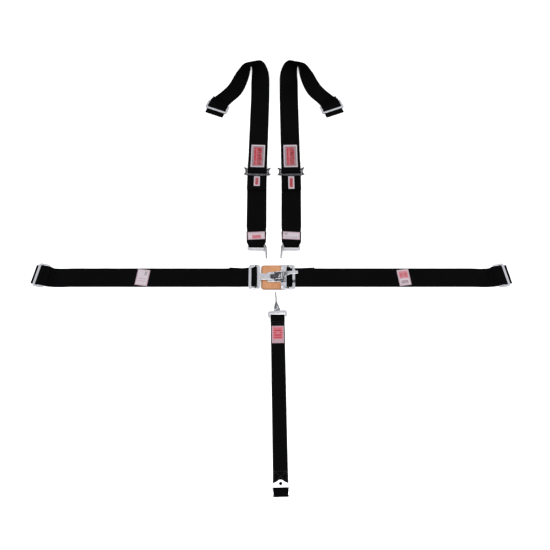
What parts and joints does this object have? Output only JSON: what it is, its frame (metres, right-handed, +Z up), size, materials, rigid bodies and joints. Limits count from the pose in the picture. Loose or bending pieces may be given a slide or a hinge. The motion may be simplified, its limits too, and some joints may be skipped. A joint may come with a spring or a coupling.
{
  "type": "racing harness",
  "caption": "Five-point racing harness with a latch-and-link buckle on a leather pad, wide black webbing straps, slide adjusters and a bolt-in anchor plate.",
  "frame": {"origin": "centre of the harness's footprint, on the surface it lies on", "axes": "+X towards the end of the lap strap that carries the latch, +Y towards the turned-back ends of the shoulder straps, +Z up"},
  "size_m": [1.7844, 1.7792, 0.0727],
  "materials": {
    "webbing": "tight ribbed polyester weave, matt with a faint sheen",
    "chrome": "polished chrome plate",
    "dark_steel": "satin plated steel",
    "leather": "tan leather with darker cut edges",
    "white_label": "sewn woven label",
    "red_label": "sewn woven label"
  },
  "bodies": {
    "right_lap": {"right_lap_webbing": "webbing", "right_lap_label": "white_label", "right_lap_end_slide": "chrome", "latch_base": "chrome", "leather_pad": "leather", "upper_pad_rivet": "chrome", "lower_pad_rivet": "chrome", "lever_pivot_pin": "dark_steel", "dog_pivot_pin": "dark_steel", "dog_spring": "dark_steel"},
    "right_bar": {"right_lap_bar": "dark_steel"},
    "lever": {"latch_lever": "chrome"},
    "dog": {"latch_dog": "dark_steel"},
    "left_lap": {"left_lap_webbing": "webbing", "left_lap_label": "white_label", "left_lap_end_slide": "chrome", "link_plate": "chrome"},
    "left_bar": {"left_lap_bar": "dark_steel"},
    "left_shoulder": {"left_shoulder_upper_webbing": "webbing", "left_shoulder_lower_webbing": "webbing", "left_shoulder_adjuster": "dark_steel", "left_shoulder_end_slide": "chrome", "left_shoulder_main_label": "red_label", "left_shoulder_pull_label": "red_label", "left_shoulder_low_label": "white_label"},
    "left_adjuster_bar": {"left_adjuster_bar": "dark_steel"},
    "left_link": {"left_shoulder_link": "chrome"},
    "right_shoulder": {"right_shoulder_upper_webbing": "webbing", "right_shoulder_lower_webbing": "webbing", "right_shoulder_adjuster": "dark_steel", "right_shoulder_end_slide": "chrome", "right_shoulder_main_label": "red_label", "right_shoulder_pull_label": "red_label", "right_shoulder_low_label": "white_label"},
    "right_adjuster_bar": {"right_adjuster_bar": "dark_steel"},
    "right_link": {"right_shoulder_link": "chrome"},
    "crotch": {"crotch_webbing": "webbing", "crotch_label": "red_label"},
    "crotch_link": {"crotch_link": "chrome"},
    "anchor": {"anchor_plate": "chrome"}
  },
  "joints": [
    {"name": "lever_swing", "type": "hinge", "parent": "right_lap", "child": "lever", "pos_m": [0.0385, -0.08918, 0.01806], "axis": [0, -1, 0], "range_deg": [-28, 80]},
    {"name": "dog_swing", "type": "hinge", "parent": "right_lap", "child": "dog", "pos_m": [0.0175, -0.08918, 0.01656], "axis": [0, -1, 0], "range_deg": [-29, 10.5]},
    {"name": "link_release", "type": "slide", "parent": "right_lap", "child": "left_lap", "axis": [-1, 0, 0], "range_m": [0, 0.05]},
    {"name": "right_bar_slide", "type": "slide", "parent": "right_lap", "child": "right_bar", "axis": [1, 0, 0], "range_m": [0, 0.0025]},
    {"name": "left_bar_slide", "type": "slide", "parent": "left_lap", "child": "left_bar", "axis": [-1, 0, 0], "range_m": [0, 0.0025]},
    {"name": "left_shoulder_away", "type": "slide", "parent": "right_lap", "child": "left_shoulder", "axis": [0, 1, 0], "range_m": [0, 0.1]},
    {"name": "left_adjuster_bar_slide", "type": "slide", "parent": "left_shoulder", "child": "left_adjuster_bar", "axis": [0.0253, 0.9997, 0], "range_m": [0, 0.002]},
    {"name": "left_link_swing", "type": "hinge", "parent": "left_shoulder", "child": "left_link", "pos_m": [-0.05748, 0.04042, 0.00386], "axis": [-1, 0.003, 0], "range_deg": [0, 100], "deforming": ["left_shoulder_lower_webbing"]},
    {"name": "right_shoulder_away", "type": "slide", "parent": "right_lap", "child": "right_shoulder", "axis": [0, 1, 0], "range_m": [0, 0.1]},
    {"name": "right_adjuster_bar_slide", "type": "slide", "parent": "right_shoulder", "child": "right_adjuster_bar", "axis": [-0.0169, 0.9999, 0], "range_m": [0, 0.002]},
    {"name": "right_link_swing", "type": "hinge", "parent": "right_shoulder", "child": "right_link", "pos_m": [0.07552, 0.04042, 0.00386], "axis": [-1, 0.003, 0], "range_deg": [0, 100], "deforming": ["right_shoulder_lower_webbing"]},
    {"name": "crotch_away", "type": "slide", "parent": "right_lap", "child": "crotch", "axis": [0, -1, 0], "range_m": [0, 0.1]},
    {"name": "crotch_link_swing", "type": "hinge", "parent": "crotch", "child": "crotch_link", "pos_m": [0.02282, -0.24678, 0.00386], "axis": [0.9999, 0.0157, 0], "range_deg": [0, 100], "deforming": ["crotch_webbing"]},
    {"name": "anchor_unfold", "type": "hinge", "parent": "crotch", "child": "anchor", "pos_m": [0.03277, -0.87988, 0.00616], "axis": [0.9999, 0.0157, 0], "range_deg": [0, 165], "deforming": ["crotch_webbing"]}
  ],
  "couplings": [
    {"joint": "dog_swing", "follows": "lever_swing", "ratio": -0.36}
  ]
}
